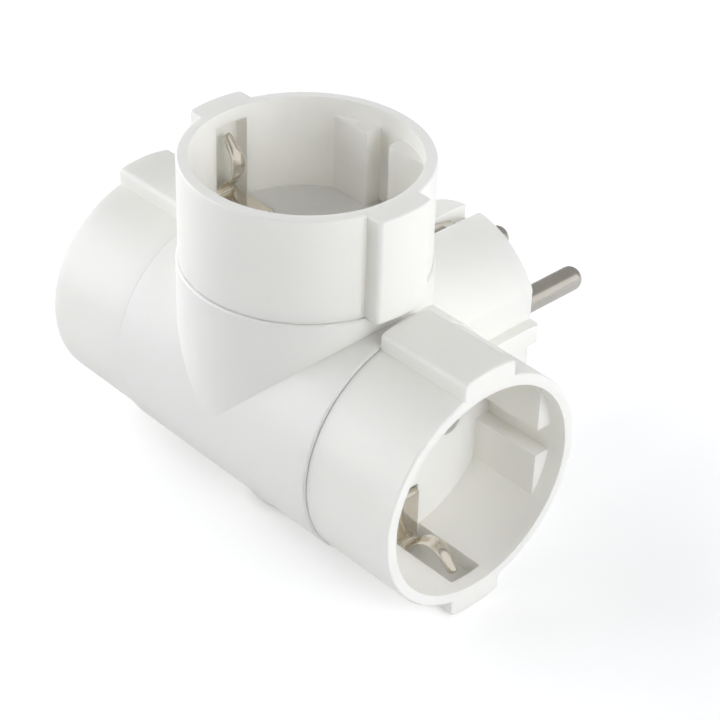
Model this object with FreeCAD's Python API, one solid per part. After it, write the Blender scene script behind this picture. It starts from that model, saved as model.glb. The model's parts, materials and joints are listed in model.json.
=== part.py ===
"""Three-way socket adapter: three round recessed sockets and a round two-pin plug on one hub.

Millimetres. The origin is the middle of the plug's face, +Y is the way the pins point,
+X is the right-hand socket and +Z the upper one. Every piece is worked out about the
point where the socket axes cross, and is moved to that origin as it is written.
"""
import FreeCAD, Part
import math
import os

from FreeCAD import Rotation, Vector

# Standard sizes of the round two-pin plug and its recessed socket
pin_radius = 2.4
pin_spacing = 19.0
pin_length = 19.5
recess_radius = 19.5
recess_depth = 17.5

# Hub and socket walls
cup_wall = 2.0
floor_thickness = 1.9
stub_step = 0.4
stub_wall = 2.3
ear_rise = 2.9
ear_clearance = 0.3
ear_half_width = 5.7
ear_corner = 1.0
rim_rounding = 0.4
seam_chamfer = 0.25
boss_radius = 10.0
boss_height = 1.3

# Ribs, groove and earth channels inside each socket
rib_height = 3.4
rib_top_drop = 3.3
rib_groove_half = 2.7
pin_hole_gap = 0.35
channel_side_gap = 0.8
channel_wall = 2.3
channel_top_drop = 2.6

# Register ring and snap beads that hold a socket in its stub
register_length = 4.0
register_wall = 1.7
fit_gap = 0.1
bead_height = 0.5
bead_width = 0.7
bead_arc = 24.0
bead_count = 4
bead_drop = 2.4

# Plug nose
nose_gap = 1.5
nose_flat_gap = 0.2
nose_key_gap = 0.75
nose_key_rise = 2.3
rear_clearance = 1.4
nose_rounding = 0.5
nose_channel_depth = 2.9
nose_channel_length = 17.0
face_thickness = 3.0
face_ledge = 1.0

# Pins behind the plug's face
collar_radius = 3.6
collar_length = 2.1
collar_side_gap = 0.2
shank_radius = 1.4
pin_dome = 2.0
pin_seat_step = 0.2
pin_fit = 0.05

# Sprung earth clips in the sockets: how far in from the channel's back, and up from the floor
clip_thickness = 0.7
clip_width = 3.4
clip_tip_width = 2.4
clip_tip_corner = 0.8
foot_width = 5.2
foot_run = 11.1
slot_bend = 0.8
heel_gap = 0.9
heel_bend = 1.0
knee_gap, knee_rise, knee_bend = 1.3, 2.4, 2.0
bulge_gap, bulge_rise, bulge_bend = 5.7, 8.2, 3.2
tip_gap, tip_rise = 2.1, 12.4

# Bus plates and the jaws that grip the pins
bus_thickness = 0.8
bus_half_height = 3.5
bus_end_gap = 3.3
tail_width = 4.6
tail_drop = 0.1
tail_wall_gap = 0.3
tail_bend = 1.2
jaw_thickness = 0.6
jaw_length = 12.3
jaw_end_gap = 1.0
jaw_grip_gap = 0.05
jaw_lip_flare = 0.95
jaw_lip_drop = 3.3
jaw_bend = 0.8
jaw_head_gap = 0.6
rivet_radius = 1.0
rivet_head_radius = 1.8
rivet_head_height = 0.8
rivet_inner_head = 0.5
earth_tab = 2.6
earth_lap = 6.5

# Earth strap round the plug's nose
strap_width = 3.0
strap_side_gap = 0.3
strap_leg = 12.0
strap_bow = 0.8
strap_end_flat = 2.4
strap_back_ramp = 2.4
strap_front_ramp = 3.6

# Moulded carriers that part the three metal circuits
carrier_thickness = 1.2
carrier_jaw_gap = 0.7
carrier_tail_gap = 1.0
post_spot = 7.0
post_radius = 2.2
post_jaw_gap = 1.8
stake_radius = 1.1
stake_head_radius = 1.9
peg_radius = 1.0
peg_length = 2.6
peg_end_gap = 0.2

# Worked-out sizes
SIDES = (-1, 1)
X = Vector(1, 0, 0)
Y = Vector(0, 1, 0)
Z = Vector(0, 0, 1)
HUB = Vector(0, 0, 0)
cup_radius = recess_radius + cup_wall
stub_radius = cup_radius + stub_step
stub_bore = stub_radius - stub_wall
ear_reach = cup_radius + ear_rise
channel_reach = ear_reach - channel_wall
channel_half_width = foot_width / 2 + channel_side_gap
shoulder = ear_reach + ear_clearance
floor_top = shoulder + floor_thickness
mouth_height = floor_top + recess_depth
rib_offset = recess_radius - rib_height
register_radius = stub_bore - fit_gap
clip_slot_offset = channel_reach - foot_run
pin_offset = pin_spacing / 2
pin_hole_radius = pin_radius + pin_hole_gap
pin_seat_radius = pin_radius + pin_seat_step
plug_reach = cup_radius + recess_depth + rear_clearance
face_back = plug_reach - face_thickness
nose_radius = recess_radius - nose_gap
nose_flat = rib_offset - nose_flat_gap
nose_wall = nose_flat - face_ledge - collar_side_gap - collar_radius - pin_offset
nose_key_half = rib_groove_half - nose_key_gap
nose_key_reach = nose_flat + nose_key_rise
nose_channel_half = strap_width / 2 + strap_side_gap
nose_channel_floor = nose_radius - nose_channel_depth
tab_middle = face_back - collar_length - bus_thickness / 2
bus_inner = pin_offset + pin_radius + jaw_head_gap + rivet_inner_head + jaw_thickness
bus_outer = bus_inner + bus_thickness
bus_offset = (bus_inner + bus_outer) / 2
bus_half_length = shoulder - bus_end_gap
high_tail = bus_half_height + tail_drop
tail_room = nose_radius - nose_wall - face_ledge - tail_wall_gap
tail_corner = pin_offset + tail_width / 2
low_tail = math.sqrt(tail_room ** 2 - tail_corner ** 2) - bus_thickness / 2
carrier_half_height = low_tail - bus_thickness / 2 - carrier_tail_gap
carrier_outer = pin_offset - jaw_lip_drop - carrier_jaw_gap
carrier_inner = carrier_outer - carrier_thickness
jaw_top = shoulder - jaw_end_gap
jaw_bottom = jaw_top - jaw_length
jaw_middle = (jaw_top + jaw_bottom) / 2
post_spot_up = jaw_bottom - post_radius - post_jaw_gap
POST_SPOTS = (X * -post_spot, X * post_spot, Z * post_spot_up)
WAYS = {"left": -1, "right": 1, "top": 0}


def box(low, high):
    """A box between two opposite corners."""
    size = Vector(*high) - Vector(*low)
    return Part.makeBox(size.x, size.y, size.z, Vector(*low))


def rod(radius, start, end, axis, across=HUB):
    """A round bar from start to end along an axis whose line passes through across."""
    return Part.makeCylinder(radius, abs(end - start), across + axis * min(start, end), axis)


def joined(shapes):
    """One solid from several that touch or overlap."""
    first, *rest = shapes
    return first.fuse(rest).removeSplitter()


def without(shape, tools):
    """A shape with several others cut away."""
    return shape.cut(list(tools)).removeSplitter()


def left_of(run):
    """The direction a quarter turn to the left of a run in the flat."""
    return Vector(-run.y, run.x, 0)


def strip_side(path, offset, usual_bend):
    """One side of a bent strip's section: straight runs joined by tangent arcs."""
    corners = [Vector(point[0], point[1], 0) for point in path]
    bends = [point[2] if len(point) > 2 else usual_bend for point in path]
    runs = [(b - a).normalize() for a, b in zip(corners, corners[1:])]
    edges = []
    cursor = corners[0] + left_of(runs[0]) * offset
    for corner, bend, before, after in zip(corners[1:], bends[1:], runs, runs[1:]):
        turn = before.cross(after).z
        hand = math.copysign(1, turn)
        tangent = bend * abs(turn) / (1 + before.dot(after))
        centre = corner - before * tangent + left_of(before) * (hand * bend)
        start = corner - before * tangent + left_of(before) * offset
        end = corner + after * tangent + left_of(after) * offset
        crown = centre + (corner - centre).normalize() * (bend - hand * offset)
        edges.append(Part.makeLine(cursor, start))
        edges.append(Part.Arc(start, crown, end).toShape())
        cursor = end
    edges.append(Part.makeLine(cursor, corners[-1] + left_of(runs[-1]) * offset))
    return edges


def bent_strip(path, thickness, width, bend, along=X, up=Z, middle=0.0):
    """A metal strip bent round its middle line, given as (along, up) points.

    A point's third number is that corner's own bend radius. The width lies across the
    path, centred on the given middle.
    """
    near, far = (strip_side(path, side * thickness / 2, bend) for side in SIDES)
    caps = [Part.makeLine(near[0].Vertexes[0].Point, far[0].Vertexes[0].Point),
            Part.makeLine(near[-1].Vertexes[-1].Point, far[-1].Vertexes[-1].Point)]
    wire = Part.Wire(Part.__sortEdges__(near + far + caps))
    strip = Part.Face(wire).extrude(Z * width)
    strip.translate(Z * (middle - width / 2))
    turned = Rotation(along, up, along.cross(up), "XYZ")
    return strip.transformed(FreeCAD.Placement(HUB, turned).toMatrix())


def mirrored_path(half):
    """A path from one tip to the other, from its right-hand half."""
    left = [(-point[0],) + tuple(point[1:]) for point in reversed(half)]
    return left + list(half)


def facing(shape, way):
    """Turn a piece made for the upper socket to face left (-1), up (0) or right (1)."""
    turned = shape.copy()
    turned.rotate(HUB, Y, 90 * way)
    return turned


def every_way(shape):
    """The three copies of a piece made for the upper socket."""
    return [facing(shape, way) for way in WAYS.values()]


def other_pole(shape):
    """The neutral side's copy of a piece made for the live side."""
    turned = shape.copy()
    turned.rotate(HUB, Z, 180)
    return turned


def socket_outline():
    """Outside of a socket: its round wall and two earth ears curved like it, with softened edges."""
    ears = box((-ear_reach, -ear_half_width, shoulder), (ear_reach, ear_half_width, mouth_height))
    ears = ears.common(rod(ear_reach, shoulder, mouth_height, Z))
    corners = [edge for edge in ears.Edges
               if edge.BoundBox.ZLength > ear_corner and abs(edge.CenterOfMass.y) > ear_corner]
    ears = ears.makeFillet(ear_corner, corners)
    block = joined([rod(cup_radius, shoulder, mouth_height, Z), ears])
    rim = [edge for edge in block.Edges if edge.BoundBox.ZMin > mouth_height - fit_gap]
    foot = [edge for edge in block.Edges if edge.BoundBox.ZMax < shoulder + fit_gap]
    return block.makeFillet(rim_rounding, rim).makeChamfer(seam_chamfer, foot)


def chord_ribs():
    """The two flat-faced ribs on the pin axis, each split by a groove."""
    top = mouth_height - rib_top_drop
    root = recess_radius + cup_wall / 2
    slab = box((-root, rib_offset, floor_top), (root, root, top))
    groove = box((-rib_groove_half, 0, floor_top), (rib_groove_half, root, top))
    groove = groove.common(rod(recess_radius, floor_top, top, Z))
    rib = slab.common(rod(root, floor_top, top, Z)).cut(groove)
    return [rib, other_pole(rib)]


def register_ring():
    """The ring below a socket's floor, with the snap beads that click into the stub."""
    low = shoulder - register_length
    bead_low = shoulder - bead_drop - bead_width / 2
    bead = Part.makeCylinder(register_radius + bead_height, bead_width,
                             Vector(0, 0, bead_low), Z, bead_arc)
    beads = []
    for number in range(bead_count):
        copy = bead.copy()
        copy.rotate(HUB, Z, (number + 0.5) * 360 / bead_count - bead_arc / 2)
        beads.append(copy)
    ring = joined([rod(register_radius, low, shoulder, Z)] + beads)
    return ring.cut(rod(register_radius - register_wall, low, shoulder, Z))


def socket_cup():
    """The upper socket: wall, ears, floor, ribs, earth channels, holes and register ring."""
    block = socket_outline().cut(rod(recess_radius, floor_top, mouth_height, Z))
    block = joined([block, register_ring()] + chord_ribs())
    slot_half = slot_bend + fit_gap
    foot_half = foot_width / 2 + fit_gap
    channel = box((0, -channel_half_width, floor_top),
                  (channel_reach, channel_half_width, mouth_height - channel_top_drop))
    slot = box((clip_slot_offset - slot_half, -foot_half, shoulder),
               (clip_slot_offset + slot_half, foot_half, floor_top))
    hole = rod(pin_hole_radius, shoulder, floor_top, Z, Y * pin_offset)
    tools = [channel, slot, hole]
    return without(block, tools + [other_pole(tool) for tool in tools])


def finger_outline():
    """Front view of a clip's finger: wide at the foot, even as far as the bulge, then a rounded tip."""
    end = floor_top + tip_rise + clip_thickness / 2
    right = [(foot_width / 2, 0), (foot_width / 2, floor_top + clip_thickness),
             (clip_width / 2, floor_top + knee_rise), (clip_width / 2, floor_top + bulge_rise),
             (clip_tip_width / 2, end)]
    corners = right + [(-across, up) for across, up in reversed(right)]
    points = [Vector(-channel_reach, across, up) for across, up in corners + corners[:1]]
    block = Part.Face(Part.makePolygon(points)).extrude(X * (2 * channel_reach))
    top = [edge for edge in block.Edges
           if edge.BoundBox.ZMin > end - fit_gap and edge.BoundBox.XLength > channel_reach]
    return block.makeFillet(clip_tip_corner, top)


def earth_clip():
    """Earth clip of the upper socket: a base under the floor and two S-shaped fingers."""
    base = shoulder - clip_thickness / 2
    foot = floor_top + clip_thickness / 2
    half = [(clip_slot_offset, base), (clip_slot_offset, foot),
            (channel_reach - heel_gap, foot, heel_bend),
            (channel_reach - knee_gap, floor_top + knee_rise, knee_bend),
            (channel_reach - bulge_gap, floor_top + bulge_rise, bulge_bend),
            (channel_reach - tip_gap, floor_top + tip_rise)]
    strip = bent_strip(mirrored_path(half), clip_thickness, foot_width, slot_bend)
    return strip.common(finger_outline())


def nose_hollow(inset, start, end):
    """The nose's inner form, drawn in from its outside by a wall."""
    flat = nose_flat - inset
    depth = nose_channel_floor - inset
    round_bar = rod(nose_radius - inset, start, end, Y)
    return round_bar.common(box((-flat, start, -depth), (flat, end, depth)))


def plug_nose():
    """The plug's nose: round with two flats, a key on each flat and an earth channel up and down."""
    wide = nose_radius + nose_key_rise
    round_bar = rod(nose_radius, 0, plug_reach, Y)
    round_bar = round_bar.common(box((-nose_flat, 0, -wide), (nose_flat, plug_reach, wide)))
    keys = box((-nose_key_reach, 0, -nose_key_half), (nose_key_reach, plug_reach, nose_key_half))
    bullet = rod(max(nose_key_reach, nose_radius), 0, plug_reach, Y)
    end_edge = [edge for edge in bullet.Edges if edge.BoundBox.YMin > plug_reach - fit_gap]
    bullet = bullet.makeFillet(nose_rounding, end_edge)
    channel = box((-nose_channel_half, plug_reach - nose_channel_length, nose_channel_floor),
                  (nose_channel_half, plug_reach, wide))
    below = channel.mirror(HUB, Z)
    return joined([round_bar, keys]).common(bullet).cut([channel, below])


def snap_groove():
    """The ring groove of the upper stub that a socket's snap beads click into."""
    half = bead_width / 2 + fit_gap
    middle = shoulder - bead_drop
    return rod(stub_bore + bead_height, middle - half, middle + half, Z)


def core_body():
    """The hub: three open stubs, a plug nose and a shallow boss, hollow right through."""
    boss = rod(boss_radius, -stub_radius - boss_height, -stub_bore + stub_wall, Z)
    stub = rod(stub_radius, 0, shoulder, Z)
    end_edge = [edge for edge in stub.Edges if edge.BoundBox.ZMin > shoulder - fit_gap]
    stub = stub.makeChamfer(seam_chamfer, end_edge)
    outside = joined(every_way(stub) + [plug_nose(), boss])
    strap_half = strap_width / 2 + fit_gap
    notch = box((-strap_half, face_back - bus_thickness - tail_bend, -nose_channel_floor),
                (strap_half, plug_reach, nose_channel_floor))
    hollows = every_way(rod(stub_bore, 0, shoulder, Z)) + every_way(snap_groove())
    hollows.append(nose_hollow(nose_wall + face_ledge, 0, face_back))
    hollows.append(nose_hollow(nose_wall, face_back, plug_reach))
    return without(outside, hollows + [notch])


def plug_face():
    """The plate that closes the nose, with the pin holes and the two tabs over the earth strap."""
    tab_half = strap_width / 2
    plate = nose_hollow(nose_wall + fit_gap, face_back, plug_reach)
    tabs = box((-tab_half, face_back, -nose_channel_floor), (tab_half, plug_reach, nose_channel_floor))
    holes = [rod(pin_seat_radius + pin_fit, face_back, plug_reach, Y, X * (side * pin_offset))
             for side in SIDES]
    return without(joined([plate, tabs]), holes)


def plug_pin(side):
    """A round pin with a domed tip, a thicker seat in the face, a collar and a riveted shank."""
    line = X * (side * pin_offset)
    barrel = rod(pin_radius, plug_reach, plug_reach + pin_length, Y, line)
    tip = [edge for edge in barrel.Edges if edge.BoundBox.YMin > plug_reach + fit_gap]
    barrel = barrel.makeFillet(pin_dome, tip)
    collar_back = face_back - collar_length
    tab_back = collar_back - bus_thickness
    head_radius = shank_radius + rivet_head_height
    return joined([barrel,
                   rod(pin_seat_radius, face_back, plug_reach, Y, line),
                   rod(collar_radius, collar_back, face_back, Y, line),
                   rod(shank_radius, tab_back, collar_back, Y, line),
                   rod(head_radius, tab_back - rivet_head_height, tab_back, Y, line)])


def earth_strap():
    """The strap behind the plug's face, whose bowed legs lie in the nose's channels."""
    cross = face_back - bus_thickness / 2
    level = nose_channel_floor + bus_thickness / 2
    bow = level + strap_bow
    end = cross - strap_leg
    leg = [(end, level), (end + strap_end_flat, level), (end + strap_end_flat + strap_back_ramp, bow),
           (cross - strap_front_ramp, bow), (cross, level)]
    below = [(forward, -height) for forward, height in reversed(leg)]
    return bent_strip(leg + below, bus_thickness, strap_width, tail_bend, along=Y, up=Z)


def jaw():
    """Live jaw of the upper socket: a sprung U that grips the pin between its two leaves."""
    grip = pin_radius + jaw_grip_gap + jaw_thickness / 2
    base = bus_inner - jaw_thickness / 2
    lip = pin_offset - jaw_lip_drop
    half = [(grip, base), (grip, lip + jaw_lip_flare), (grip + jaw_lip_flare, lip)]
    leaf = bent_strip(mirrored_path(half), jaw_thickness, jaw_length, jaw_bend,
                      along=X, up=Y, middle=jaw_middle)
    return leaf.cut(rod(rivet_radius, bus_inner - jaw_thickness, bus_inner, Y, Z * jaw_middle))


def bus_plate(side):
    """T-shaped plate of a live (1) or neutral (-1) bus, behind all three sockets."""
    near, far = sorted((side * bus_inner, side * bus_outer))
    arm = box((-bus_half_height, near, 0), (bus_half_height, far, bus_half_length))
    return joined(every_way(arm))


def bus_bar(side, drop):
    """A live or neutral bus: its plate and a tail that dips and runs forward to the pin."""
    tail = [(side * bus_offset, 0), (side * bus_offset, -drop),
            (tab_middle, -drop), (tab_middle, bus_half_height)]
    tail = bent_strip(tail, bus_thickness, tail_width, tail_bend, Y, Z, side * pin_offset)
    near, far = side * (bus_inner - fit_gap), side * (bus_outer + fit_gap)
    holes = every_way(rod(rivet_radius, near, far, Y, Z * jaw_middle))
    holes += [rod(stake_radius + pin_fit, near, far, Y, spot) for spot in POST_SPOTS]
    holes.append(rod(shank_radius, tab_middle - bus_thickness, tab_middle + bus_thickness,
                     Y, X * (side * pin_offset)))
    return without(joined([bus_plate(side), tail]), holes)


def earth_bus():
    """The middle bus: three arms with turned ends under the earth clips, and a forward tail."""
    end = shoulder - clip_thickness - bus_thickness / 2
    arm = bent_strip([(0, 0), (end, 0), (end, earth_tab)], bus_thickness, 2 * bus_half_height,
                     tail_bend, along=Z, up=Y)
    tab = face_back - 1.5 * bus_thickness
    tail = bent_strip([(0, 0), (0, -low_tail), (tab, -low_tail), (tab, earth_lap - low_tail)],
                      bus_thickness, tail_width, tail_bend, along=Y, up=Z)
    holes = [rod(peg_radius + pin_fit, -bus_thickness, bus_thickness, Y, spot)
             for spot in POST_SPOTS]
    return without(joined(every_way(arm) + [tail]), holes)


def jaw_rivet():
    """Rivet through the upper live jaw and the live bus."""
    jaw_inside = bus_inner - jaw_thickness
    spot = Z * jaw_middle
    return joined([rod(rivet_radius, jaw_inside, bus_outer, Y, spot),
                   rod(rivet_head_radius, jaw_inside - rivet_inner_head, jaw_inside, Y, spot),
                   rod(rivet_head_radius, bus_outer, bus_outer + rivet_head_height, Y, spot)])


def carrier_arms():
    """The live carrier's flat: three arms that end against the sockets' floors."""
    arm = box((-carrier_half_height, carrier_inner, 0),
              (carrier_half_height, carrier_outer, shoulder))
    return every_way(arm)


def live_carrier():
    """Moulded plate between earth and live: posts, staked heads and the locating pegs."""
    pieces = carrier_arms()
    for spot in POST_SPOTS:
        pieces.append(rod(post_radius, bus_thickness / 2, bus_inner, Y, spot))
        pieces.append(rod(stake_radius, bus_inner, bus_outer, Y, spot))
        pieces.append(rod(stake_head_radius, bus_outer, bus_outer + rivet_head_height, Y, spot))
        pieces.append(rod(peg_radius, -peg_length, bus_thickness / 2, Y, spot))
    return joined(pieces)


def neutral_carrier():
    """The same plate on the neutral side, with holes in its posts for the pegs."""
    pieces = carrier_arms()
    holes = []
    for spot in POST_SPOTS:
        pieces.append(rod(post_radius, bus_thickness / 2, bus_inner, Y, spot))
        pieces.append(rod(stake_radius, bus_inner, bus_outer, Y, spot))
        pieces.append(rod(stake_head_radius, bus_outer, bus_outer + rivet_head_height, Y, spot))
        holes.append(rod(peg_radius + pin_fit, 0, peg_length + peg_end_gap, Y, spot))
    return other_pole(without(joined(pieces), holes))


def write(name, shape):
    """Move a piece so that the origin is the plug's face, check it and write its file."""
    moved = shape.copy()
    moved.translate(Y * -plug_reach)
    if not moved.isValid():
        raise ValueError(name + " is not a valid shape")
    moved.exportStep("parts/" + name + ".step")
    print(f"{name:22s} {len(moved.Solids)} solid, {moved.Volume / 1000:7.3f} cm3")


def main():
    os.makedirs("parts", exist_ok=True)
    write("core_body", core_body())
    write("plug_face", plug_face())
    write("pin_live", plug_pin(1))
    write("pin_neutral", plug_pin(-1))
    write("plug_earth_strap", earth_strap())
    cup, clip, live_jaw = socket_cup(), earth_clip(), jaw()
    for side, way in WAYS.items():
        write(side + "_cup", facing(cup, way))
        write(side + "_earth_clip", facing(clip, way))
        write(side + "_live_jaw", facing(live_jaw, way))
        write(side + "_neutral_jaw", facing(other_pole(live_jaw), way))
    write("live_bus", bus_bar(1, high_tail))
    write("neutral_bus", bus_bar(-1, low_tail))
    write("earth_bus", earth_bus())
    rivet = jaw_rivet()
    write("live_rivets", Part.makeCompound(every_way(rivet)))
    write("neutral_rivets", Part.makeCompound(every_way(other_pole(rivet))))
    write("live_carrier", live_carrier())
    write("neutral_carrier", neutral_carrier())


main()
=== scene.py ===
# %% [markdown]
# # Multi socket adapter
#
# One hub carries three round sockets and, behind, a round plug with two pins. The hard shapes
# come from the CAD model, which is loaded here as a fixed frame. Blender adds what CAD leaves
# plain: the feel of moulded plastic and plated metal, the soft curves of the sprung earth
# clips, a floor, lamps and a camera.

# %% Load the frame
import json
import math

import bpy
import numpy as np
from mathutils import Matrix, Vector


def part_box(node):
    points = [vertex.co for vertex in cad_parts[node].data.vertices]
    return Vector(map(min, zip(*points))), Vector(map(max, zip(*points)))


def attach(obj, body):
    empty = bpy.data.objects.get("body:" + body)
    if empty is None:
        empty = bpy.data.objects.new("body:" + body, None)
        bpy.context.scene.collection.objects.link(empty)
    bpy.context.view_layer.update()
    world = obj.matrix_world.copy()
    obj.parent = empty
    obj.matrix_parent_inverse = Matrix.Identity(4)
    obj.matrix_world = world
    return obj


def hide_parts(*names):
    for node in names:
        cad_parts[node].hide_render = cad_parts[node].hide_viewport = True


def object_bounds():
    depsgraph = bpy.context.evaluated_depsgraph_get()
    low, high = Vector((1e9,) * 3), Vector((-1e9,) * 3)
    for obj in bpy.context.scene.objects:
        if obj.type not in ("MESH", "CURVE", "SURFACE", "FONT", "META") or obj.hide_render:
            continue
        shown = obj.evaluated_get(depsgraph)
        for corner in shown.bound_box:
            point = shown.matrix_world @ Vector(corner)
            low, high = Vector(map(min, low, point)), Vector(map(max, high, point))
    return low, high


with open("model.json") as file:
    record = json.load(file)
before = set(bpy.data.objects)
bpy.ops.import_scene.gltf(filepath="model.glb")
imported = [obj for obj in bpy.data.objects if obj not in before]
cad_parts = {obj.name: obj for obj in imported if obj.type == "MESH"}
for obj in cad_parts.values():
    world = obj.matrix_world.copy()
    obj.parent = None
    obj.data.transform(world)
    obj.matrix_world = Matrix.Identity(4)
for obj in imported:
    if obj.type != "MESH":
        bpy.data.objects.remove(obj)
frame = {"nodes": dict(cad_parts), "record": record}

cad_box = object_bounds()
nodes = frame["nodes"]
print(len(nodes), "nodes, box", [round(v, 4) for corner in cad_box for v in corner])

# %% [markdown]
# ## Where things are
#
# The frame's origin is the middle of the plug's face and the pins point along +Y. The axes of
# the three sockets cross on the hub's centre, 40.4 mm behind that face. What repeats round this
# centre is made once for the upper socket and then turned a quarter to face left or right.

# %% Sizes read from the frame
MM = 0.001
WAYS = {"left": -1, "top": 0, "right": 1}
low, high = (np.array(corner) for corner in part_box("top_cup"))
hub_centre = np.array([0.0, (low[1] + high[1]) / 2, 0.0])
mouth_height = high[2]
ear_reach = high[0]
clip_low, clip_high = (np.array(corner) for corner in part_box("top_earth_clip"))
print("hub centre", hub_centre.round(5), "mouth", round(mouth_height, 4), "ears", round(ear_reach, 4))
print("upper clip", clip_low.round(4), clip_high.round(4))

# %% [markdown]
# ## White plastic
#
# The housing is injection moulded in a satin white plastic. Up close it is never one flat
# white: the mould's fine spark texture breaks the gloss, the sheen drifts a little where the
# plastic flowed, and the walls let a trace of light through. Three noise patterns on Object
# coordinates give this at sizes of 0.3, 14 and 40 mm, and need no image. The white is a little
# warm, so light that bounces about in a recess turns beige there, as in the photograph.


# %% Helpers for node materials
def new_material(name):
    """A material with only a Principled shader, and its nodes, links and shader."""
    material = bpy.data.materials.new(name)
    material.use_nodes = True
    tree = material.node_tree
    shader = tree.nodes["Principled BSDF"]
    return material, tree, shader


def noise(tree, size, detail=2.0, stretch=(1.0, 1.0, 1.0)):
    """Noise whose blobs are about size metres across, stretched along the axes."""
    place = tree.nodes.new("ShaderNodeTexCoord")
    mapping = tree.nodes.new("ShaderNodeMapping")
    mapping.inputs["Scale"].default_value = [1 / (size * s) for s in stretch]
    pattern = tree.nodes.new("ShaderNodeTexNoise")
    pattern.inputs["Scale"].default_value = 1.0
    pattern.inputs["Detail"].default_value = detail
    tree.links.new(place.outputs["Object"], mapping.inputs["Vector"])
    tree.links.new(mapping.outputs["Vector"], pattern.inputs["Vector"])
    return pattern.outputs["Fac"]


def spread(tree, value, low_value, high_value, middle=0.5, width=0.4):
    """Map the part of a value round its middle onto a range of numbers, with soft ends."""
    ranged = tree.nodes.new("ShaderNodeMapRange")
    ranged.interpolation_type = "SMOOTHSTEP"
    ranged.inputs["From Min"].default_value = middle - width / 2
    ranged.inputs["From Max"].default_value = middle + width / 2
    ranged.inputs["To Min"].default_value = low_value
    ranged.inputs["To Max"].default_value = high_value
    tree.links.new(value, ranged.inputs["Value"])
    return ranged.outputs["Result"]


def between(tree, factor, first, second):
    """A colour that moves from first to second with the factor."""
    mix = tree.nodes.new("ShaderNodeMix")
    mix.data_type = "RGBA"
    mix.inputs["A"].default_value = (*first, 1)
    mix.inputs["B"].default_value = (*second, 1)
    tree.links.new(factor, mix.inputs["Factor"])
    return mix.outputs["Result"]


def bump(tree, shader, height, depth):
    """Roughen a shader's surface by a height pattern whose full depth is in metres."""
    node = tree.nodes.new("ShaderNodeBump")
    node.inputs["Distance"].default_value = depth
    tree.links.new(height, node.inputs["Height"])
    tree.links.new(node.outputs["Normal"], shader.inputs["Normal"])


TONE_SIZE, SHEEN_SIZE, SPARK_SIZE = 40 * MM, 14 * MM, 0.3 * MM


def plastic(name, pale, deep, gloss, rough, depth):
    """Moulded plastic: two near tones, a drifting gloss and a fine spark texture."""
    material, tree, shader = new_material(name)
    tone = spread(tree, noise(tree, TONE_SIZE, 1), 0, 1, width=0.8)
    tree.links.new(between(tree, tone, pale, deep), shader.inputs["Base Color"])
    sheen = spread(tree, noise(tree, SHEEN_SIZE, 1), gloss, rough, width=0.8)
    tree.links.new(sheen, shader.inputs["Roughness"])
    bump(tree, shader, noise(tree, SPARK_SIZE), depth)
    shader.inputs["IOR"].default_value = 1.5
    return material, shader


# %% Mix the plastics
LIGHT_REACH = 2.2 * MM
white_plastic, shell = plastic("white_plastic", (0.945, 0.93, 0.885), (0.93, 0.914, 0.865),
                               0.32, 0.40, 0.006 * MM)
shell.inputs["Subsurface Weight"].default_value = 0.5
shell.inputs["Subsurface Radius"].default_value = (1.0, 0.95, 0.88)
shell.inputs["Subsurface Scale"].default_value = LIGHT_REACH
carrier_plastic, _ = plastic("carrier_plastic", (0.80, 0.80, 0.77), (0.74, 0.74, 0.70),
                             0.45, 0.6, 0.01 * MM)
print("plastics", white_plastic.name, carrier_plastic.name)

# %% [markdown]
# ## Nickel and brass
#
# The pins are nickel plated: a warm grey mirror with faint turning marks. The parts inside are
# bare pressed brass. Both are one recipe with other colours: a metallic shader, a colour that
# drifts, fine scratches made by stretching a noise, and a roughness that follows them. The
# earth clips take the same recipe on their own strip coordinates, which are made below.


# %% Mix the metals
SCRATCH_DEPTH = 0.0015 * MM


def metal(name, bright, dull, gloss, rough, tone, scratches):
    """Metal whose colour follows a tone pattern and whose roughness follows its scratches."""
    material, tree, shader = new_material(name)
    tree.links.new(between(tree, tone(tree), bright, dull), shader.inputs["Base Color"])
    marks = scratches(tree)
    tree.links.new(spread(tree, marks, gloss, rough), shader.inputs["Roughness"])
    bump(tree, shader, marks, SCRATCH_DEPTH)
    shader.inputs["Metallic"].default_value = 1.0
    return material


def patches(tree):
    """Slow drift of a metal's colour, a few millimetres across."""
    return spread(tree, noise(tree, 5 * MM), 0, 1, width=0.8)


def turning_marks(tree):
    """Fine marks drawn out along the pins."""
    return noise(tree, 0.12 * MM, 3, (1, 30, 1))


def pressing_marks(tree):
    """Fine marks with no one direction."""
    return noise(tree, 0.4 * MM, 3)


pin_nickel = metal("pin_nickel", (0.74, 0.71, 0.66), (0.66, 0.63, 0.575), 0.16, 0.28,
                   patches, turning_marks)
brass = metal("brass", (0.80, 0.62, 0.33), (0.70, 0.52, 0.26), 0.2, 0.38, patches, pressing_marks)

# %% [markdown]
# ## Sprung earth clips
#
# Each socket has one earth clip, bent from a single plated strip: a base under the floor, two
# feet on the floor and two fingers. A finger goes up from its foot, leans in to a bulge that
# presses on the plug, and turns out again at its tip. CAD draws the strip flat across. The real
# one is pressed a little crowned, thins to rolled edges and ends in a rounded tip, so here it
# is made as a surface: a rounded section carried along the strip's bent middle line.

# %% The strip's middle line
STRIP = 0.7 * MM
CHANNEL_WALL = 2.3 * MM
FOOT_DEPTH = 17.15 * MM
foot_level = mouth_height - FOOT_DEPTH
base_level = clip_low[2] + STRIP / 2
channel_back = ear_reach - CHANNEL_WALL

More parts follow.
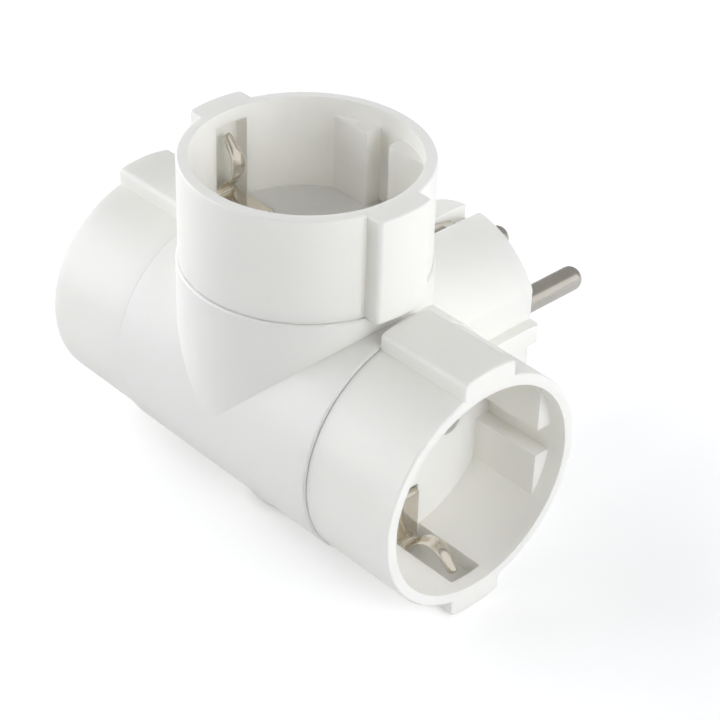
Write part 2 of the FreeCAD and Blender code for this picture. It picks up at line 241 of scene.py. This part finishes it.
# Corners of one half: millimetres in from the channel's back, metres up, bend radius in millimetres
HALF_LINE = ((11.1, base_level, 0.8), (11.1, foot_level, 0.8), (0.9, foot_level, 0.8),
             (0.9, foot_level + 1.45 * MM, 0.9), (6.2, foot_level + 7.1 * MM, 3.6),
             (1.3, foot_level + 11.8 * MM, 0.0))
half_line = np.array([(channel_back - inset * MM, up, bend * MM) for inset, up, bend in HALF_LINE])
whole_line = np.vstack((half_line[::-1] * (-1, 1, 1), half_line))


def arc_points(corner, before, after, bend, count=14):
    """Points on the arc of radius bend that touches two runs which meet at a corner."""
    turn = before[0] * after[1] - before[1] * after[0]
    tangent = bend * abs(turn) / (1 + before @ after)
    start, end = corner - before * tangent, corner + after * tangent
    centre = start + np.sign(turn) * bend * np.array((-before[1], before[0]))
    share = np.linspace(0, 1, count)[:, None]
    spokes = (start - centre) * (1 - share) + (end - centre) * share
    return centre + bend * spokes / np.linalg.norm(spokes, axis=1, keepdims=True)


def bent_line(corners, bends):
    """Points along straight runs joined by tangent arcs, as (across, up) rows."""
    runs = np.diff(corners, axis=0)
    runs /= np.linalg.norm(runs, axis=1, keepdims=True)
    rows = [corners[:1]]
    for corner, bend, before, after in zip(corners[1:-1], bends[1:-1], runs, runs[1:]):
        rows.append(arc_points(corner, before, after, bend))
    return np.vstack(rows + [corners[-1:]])


line = bent_line(whole_line[:, :2], whole_line[:, 2])
print(len(line), "points on the strip's middle line")

# %% Even steps along it, closer together at the tips
TIP_ROUNDING = 0.7 * MM
BODY_STEPS, TIP_STEPS = 300, 9
travel = np.concatenate(([0.0], np.cumsum(np.linalg.norm(np.diff(line, axis=0), axis=1))))
length = travel[-1]
near_tip = TIP_ROUNDING * (1 - np.cos(np.linspace(0.12, math.pi / 2, TIP_STEPS)))
body = np.linspace(TIP_ROUNDING, length - TIP_ROUNDING, BODY_STEPS)[1:-1]
steps = np.concatenate((near_tip, body, length - near_tip[::-1]))
middle = np.stack([np.interp(steps, travel, line[:, k]) for k in (0, 1)], axis=1)
heading = np.gradient(middle, steps, axis=0)
heading /= np.linalg.norm(heading, axis=1, keepdims=True)
print("strip", round(length * 1000, 1), "mm long,", len(steps), "sections")


# %% The section and the closed surface
def smooth(values, start, end):
    """Zero before start, one after end, and an even S between them."""
    share = np.clip((values - start) / (end - start), 0, 1)
    return share * share * (3 - 2 * share)


WIDTH_LEVELS = foot_level + np.array((0.35, 1.8, 8.0, 11.8)) * MM
WIDTHS = np.array((5.2, 3.5, 3.0, 1.7)) * MM
CROWN_START, CROWN_FULL = foot_level + 0.3 * MM, foot_level + 4 * MM
UV_UNIT = 10 * MM


def strip_widths(up, from_tip):
    """Width at each section: wide at the foot, even to the bulge, narrower at a round tip.

    The width runs in straight lines between the given levels. Near a tip it is less by twice
    what a circle of the rounding's radius leaves out at that distance from the end.
    """
    width = np.interp(up, WIDTH_LEVELS, WIDTHS)
    inward = np.clip(TIP_ROUNDING - from_tip, 0, TIP_ROUNDING)
    return width - 2 * (TIP_ROUNDING - np.sqrt(TIP_ROUNDING ** 2 - inward ** 2))


def clip_surface(around=28, crown=0.55 * MM, edge_power=0.6):
    """The upper socket's clip as rings of points, two end points, and their places on the strip.

    The section goes once round with v. Across is half the width times cos v to a power, and
    rise is half the thickness times sin v to a power, plus the crown times one minus the
    square of across over half the width. The section is carried along the middle line, where
    u is the distance travelled. A fan of faces round each end point closes the surface.
    """
    turn = np.linspace(0, 2 * math.pi, around, endpoint=False)
    cos, sin = (np.sign(f) * np.abs(f) ** edge_power for f in (np.cos(turn), np.sin(turn)))
    from_tip = np.minimum(steps, length - steps)
    width = strip_widths(middle[:, 1], from_tip)
    half = STRIP / 2
    inward = np.clip(half - from_tip, 0, half)
    thick = np.sqrt(half ** 2 - inward ** 2)
    lift = crown * smooth(middle[:, 1], CROWN_START, CROWN_FULL)
    across = width[:, None] / 2 * cos
    rise = thick[:, None] * sin + lift[:, None] * (1 - cos ** 2)
    left = np.stack((-heading[:, 1], heading[:, 0]), axis=1)
    x = middle[:, 0, None] + left[:, 0, None] * rise
    z = middle[:, 1, None] + left[:, 1, None] * rise
    points = np.stack((x, across, z), axis=2)
    ends = points[[0, -1]].mean(axis=1)
    place = np.stack((across, np.broadcast_to(steps[:, None], across.shape)), axis=2)
    end_places = np.array(((0, steps[0]), (0, steps[-1])))
    return points, ends, place, end_places


def tube_faces(rings, around):
    """Quads between neighbouring rings, and a fan of triangles at each end."""
    ring, spoke = np.meshgrid(np.arange(rings - 1), np.arange(around), indexing="ij")
    after = (spoke + 1) % around
    corners = (ring * around + spoke, ring * around + after,
               (ring + 1) * around + after, (ring + 1) * around + spoke)
    quads = np.stack(corners, axis=2).reshape(-1, 4).tolist()
    k = np.arange(around)
    first, last = rings * around, rings * around + 1
    start = np.stack((np.full(around, first), (k + 1) % around, k), axis=1).tolist()
    top = (rings - 1) * around
    end = np.stack((np.full(around, last), top + k, top + (k + 1) % around), axis=1).tolist()
    return quads + start + end


points, ends, place, end_places = clip_surface()
clip_faces = tube_faces(*points.shape[:2])
clip_points = np.vstack((points.reshape(-1, 3), ends))
clip_places = np.vstack((place.reshape(-1, 2), end_places))
print(len(clip_points), "points and", len(clip_faces), "faces a clip")


# %% Put a clip in each socket
def turned(rows, way):
    """Turn points made for the upper socket to face left, up or right, about the hub."""
    x, y, z = rows.T
    if way == 0:
        return np.stack((x, y + hub_centre[1], z), axis=1)
    return np.stack((way * z, y + hub_centre[1], -way * x), axis=1)


def add_clip(side, way):
    """One clip, with its strip coordinates kept as a UV layer."""
    mesh = bpy.data.meshes.new(f"{side}_sprung_clip")
    mesh.from_pydata(turned(clip_points, way).tolist(), [], clip_faces)
    layer = mesh.uv_layers.new(name="strip")
    corners = np.empty(len(mesh.loops), dtype=np.int32)
    mesh.loops.foreach_get("vertex_index", corners)
    layer.data.foreach_set("uv", (clip_places[corners] / UV_UNIT).ravel())
    mesh.shade_smooth()
    clip = bpy.data.objects.new(mesh.name, mesh)
    bpy.context.scene.collection.objects.link(clip)
    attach(clip, "root")
    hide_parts(f"{side}_earth_clip")
    return clip


clips = [add_clip(side, way) for side, way in WAYS.items()]
print("clips", [clip.name for clip in clips])


# %% Plate the clips
def strip_noise(tree, across, along, detail=2.0):
    """Noise on a clip's own strip coordinates, with blobs of across by along metres."""
    uv = tree.nodes.new("ShaderNodeUVMap")
    uv.uv_map = "strip"
    mapping = tree.nodes.new("ShaderNodeMapping")
    mapping.inputs["Scale"].default_value = (UV_UNIT / across, UV_UNIT / along, 1)
    pattern = tree.nodes.new("ShaderNodeTexNoise")
    pattern.inputs["Scale"].default_value = 1.0
    pattern.inputs["Detail"].default_value = detail
    tree.links.new(uv.outputs["UV"], mapping.inputs["Vector"])
    tree.links.new(mapping.outputs["Vector"], pattern.inputs["Vector"])
    return pattern.outputs["Fac"]


def strip_tone(tree):
    """Colour drift in long soft bands."""
    return spread(tree, strip_noise(tree, 1.2 * MM, 5 * MM), 0, 1, width=0.7)


def drawing_marks(tree):
    """Fine streaks that run along the strip."""
    return strip_noise(tree, 0.1 * MM, 4 * MM, 3)


nickel = metal("nickel", (0.77, 0.73, 0.655), (0.69, 0.645, 0.565), 0.10, 0.20,
               strip_tone, drawing_marks)

# %% Give every node and clip its finish
FINISHES = {"white_plastic": white_plastic, "carrier_plastic": carrier_plastic,
            "nickel": pin_nickel, "brass": brass}


def paint(obj, material):
    """Put one material on an object's slots, whatever it had before."""
    obj.data.materials.clear()
    obj.data.materials.append(material)


for row in frame["record"]["subparts"]:
    paint(nodes[row["node"]], FINISHES[row["material_slot"]])
for clip in clips:
    paint(clip, nickel)

# %% [markdown]
# ## Floor, light and camera
#
# The floor is a plain white sheet that stays paper white to the camera and still takes the
# soft shadow under the adapter. The light is that of a small product studio: seven square lamps
# round the sides, faintly blue against the warm plastic, and a weak even world for the rest.
# Polished metal sees a sky of its own, pale to the right and darker to the left.

# %% Floor
FLOOR_REACH = 4.0
FLOOR_WHITE = (0.85, 0.85, 0.85, 1)
GLOW_NEAR, GLOW_FAR = 0.35, 1.0
FADE_MIDDLE, FADE_WIDTH = 0.4, 0.5


def white_to_camera(tree, shade):
    """Add a white glow that only camera rays see, weak under the adapter and full far from it."""
    place = tree.nodes.new("ShaderNodeTexCoord")
    distance = tree.nodes.new("ShaderNodeVectorMath")
    distance.operation = "LENGTH"
    tree.links.new(place.outputs["Object"], distance.inputs[0])
    level = spread(tree, distance.outputs["Value"], GLOW_NEAR, GLOW_FAR, FADE_MIDDLE, FADE_WIDTH)
    path = tree.nodes.new("ShaderNodeLightPath")
    glow = tree.nodes.new("ShaderNodeEmission")
    power = tree.nodes.new("ShaderNodeMath")
    power.operation = "MULTIPLY"
    total = tree.nodes.new("ShaderNodeAddShader")
    tree.links.new(path.outputs["Is Camera Ray"], power.inputs[0])
    tree.links.new(level, power.inputs[1])
    tree.links.new(power.outputs[0], glow.inputs["Strength"])
    tree.links.new(shade, total.inputs[0])
    tree.links.new(glow.outputs[0], total.inputs[1])
    return total.outputs[0]


def make_floor(height):
    """A square floor sheet whose shader stays white and keeps the soft shadow."""
    turns = ((-1, -1), (1, -1), (1, 1), (-1, 1))
    corners = [(x * FLOOR_REACH, y * FLOOR_REACH, height) for x, y in turns]
    mesh = bpy.data.meshes.new("floor")
    mesh.from_pydata(corners, [], [(0, 1, 2, 3)])
    floor = bpy.data.objects.new("floor", mesh)
    bpy.context.scene.collection.objects.link(floor)
    material, tree, shader = new_material("floor_white")
    tree.nodes.remove(shader)
    matt = tree.nodes.new("ShaderNodeBsdfDiffuse")
    matt.inputs["Color"].default_value = FLOOR_WHITE
    out = tree.nodes["Material Output"]
    tree.links.new(white_to_camera(tree, matt.outputs[0]), out.inputs["Surface"])
    paint(floor, material)


floor_height = cad_box[0][2]
make_floor(floor_height)
print("floor at", round(floor_height, 4))

# %% World
FILL = 0.11
SKY_DARK, SKY_PALE = 0.36, 0.9
SKY_MIDDLE, SKY_WIDTH = 0.49, 0.2


def add_node(tree, kind, **inputs):
    """A node of a kind with some of its inputs set."""
    node = tree.nodes.new(kind)
    for name, value in inputs.items():
        node.inputs[name.replace("_", " ")].default_value = value
    return node


def mirror_sky(tree):
    """What polished metal sees: pale to the right and darker to the left."""
    place = tree.nodes.new("ShaderNodeTexCoord")
    split = tree.nodes.new("ShaderNodeSeparateXYZ")
    tree.links.new(place.outputs["Generated"], split.inputs[0])
    level = spread(tree, split.outputs["X"], SKY_DARK, SKY_PALE, SKY_MIDDLE, SKY_WIDTH)
    glow = add_node(tree, "ShaderNodeBackground", Color=(1, 0.99, 0.97, 1))
    tree.links.new(level, glow.inputs["Strength"])
    return glow.outputs[0]


def choice(tree, factor, when_no, when_yes):
    """A mix of two shaders by a light path's answer."""
    mix = tree.nodes.new("ShaderNodeMixShader")
    tree.links.new(factor, mix.inputs[0])
    tree.links.new(when_no, mix.inputs[1])
    tree.links.new(when_yes, mix.inputs[2])
    return mix.outputs[0]


world = bpy.data.worlds.new("studio")
bpy.context.scene.world = world
world.use_nodes = True
sky = world.node_tree
fill = sky.nodes["Background"]
fill.inputs["Color"].default_value = (1, 1, 1, 1)
fill.inputs["Strength"].default_value = FILL
plain = add_node(sky, "ShaderNodeBackground", Color=(1, 1, 1, 1))
path = sky.nodes.new("ShaderNodeLightPath")
lit = choice(sky, path.outputs["Is Glossy Ray"], fill.outputs[0], mirror_sky(sky))
seen = choice(sky, path.outputs["Is Camera Ray"], lit, plain.outputs[0])
sky.links.new(seen, sky.nodes["World Output"].inputs["Surface"])
print("world fill", FILL, "mirrored sky", SKY_DARK, "to", SKY_PALE)

# %% Lamps
LAMP_COLOUR = (0.985, 1.0, 1.03)
LAMP_SIZE = 0.5
AIM = Vector((0, -0.04, 0))

# Name, place in metres, power in watts, and whether metal mirrors it
LAMPS = (("left_lamp", (-0.7, -0.1, 0.25), 2.5, True),
         ("left_front_lamp", (-0.5, -0.55, 0.15), 2.25, True),
         ("front_lamp", (-0.4, -0.45, 0.5), 1.25, True),
         ("right_lamp", (0.7, 0.0, 0.25), 2.4, False),
         ("high_right_lamp", (0.6, -0.05, 0.45), 0.8, False),
         ("back_right_lamp", (0.45, 0.55, 0.3), 1.8, False),
         ("back_left_lamp", (-0.4, 0.55, 0.35), 1.45, False))


def lamp(name, place, power, mirrored):
    """A square soft lamp that points at the hub."""
    data = bpy.data.lights.new(name, "AREA")
    data.size = LAMP_SIZE
    data.energy = power
    data.color = LAMP_COLOUR
    obj = bpy.data.objects.new(name, data)
    obj.location = place
    obj.rotation_euler = (AIM - Vector(place)).to_track_quat("-Z", "Y").to_euler()
    obj.visible_glossy = mirrored
    bpy.context.scene.collection.objects.link(obj)


for row in LAMPS:
    lamp(*row)
print(len(LAMPS), "lamps,", round(sum(row[2] for row in LAMPS), 2), "W in all")

# %% Camera at the photograph's viewing angle
AZIMUTH, ELEVATION, ROLL = (math.radians(v) for v in (46.346, 35.086, 1.769))
LENS, SENSOR = 110.11, 36.0
CAMERA_PLACE = Vector((0.233851, -0.250079, 0.223652))
back = Vector((math.sin(AZIMUTH) * math.cos(ELEVATION),
               -math.cos(AZIMUTH) * math.cos(ELEVATION), math.sin(ELEVATION)))
level = Vector((0, 0, 1)).cross(back).normalized()
upward = back.cross(level)
rolled_right = math.cos(ROLL) * level + math.sin(ROLL) * upward
rolled_up = -math.sin(ROLL) * level + math.cos(ROLL) * upward
lens = bpy.data.cameras.new("camera")
lens.lens = LENS
lens.sensor_width = lens.sensor_height = SENSOR
lens.clip_start, lens.clip_end = 0.01, 20
camera = bpy.data.objects.new("camera", lens)
placed = Matrix((rolled_right, rolled_up, back)).transposed().to_4x4()
placed.translation = CAMERA_PLACE
camera.matrix_world = placed
bpy.context.scene.collection.objects.link(camera)
bpy.context.scene.camera = camera
bpy.context.scene.view_settings.view_transform = "Standard"
print("camera at", [round(v, 4) for v in camera.location])
